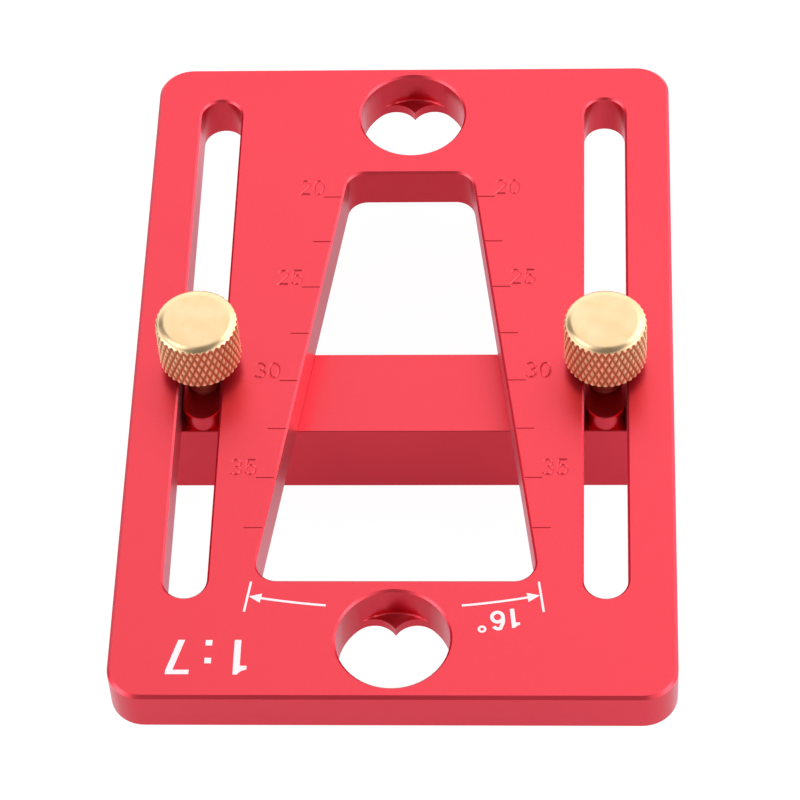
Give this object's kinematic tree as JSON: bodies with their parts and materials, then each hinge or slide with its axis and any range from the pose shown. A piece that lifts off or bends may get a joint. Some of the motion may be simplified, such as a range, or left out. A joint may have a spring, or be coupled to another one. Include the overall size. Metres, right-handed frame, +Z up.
{
  "type": "dovetail marker",
  "caption": "Flat red dovetail marking template with a one in seven tapered window, a sliding fence underneath and knurled brass thumb screws.",
  "frame": {"origin": "under the centre of the plate, on the surface that the fence bar stands on", "axes": "+X across the marker to the right, +Y along it to the narrow end of the window, +Z up through the plate to the knobs"},
  "size_m": [0.0786, 0.116, 0.0306],
  "materials": {
    "red_anodised_aluminium": "satin red anodised",
    "brass": "turned and knurled brass, polished top"
  },
  "bodies": {
    "plate": {"template_plate": "red_anodised_aluminium"},
    "fence": {"fence_bar": "red_anodised_aluminium"},
    "left_screw": {"left_thumb_screw": "brass"},
    "right_screw": {"right_thumb_screw": "brass"}
  },
  "joints": [
    {"name": "fence_slide", "type": "slide", "parent": "plate", "child": "fence", "axis": [0, 1, 0], "range_m": [-0.0342, 0.0443]},
    {"name": "left_screw_turn", "type": "hinge", "parent": "fence", "child": "left_screw", "pos_m": [-0.0294, -0.0001, 0.0165], "axis": [0, 0, 1], "continuous": true},
    {"name": "right_screw_turn", "type": "hinge", "parent": "fence", "child": "right_screw", "pos_m": [0.0294, -0.0001, 0.0165], "axis": [0, 0, 1], "continuous": true}
  ]
}
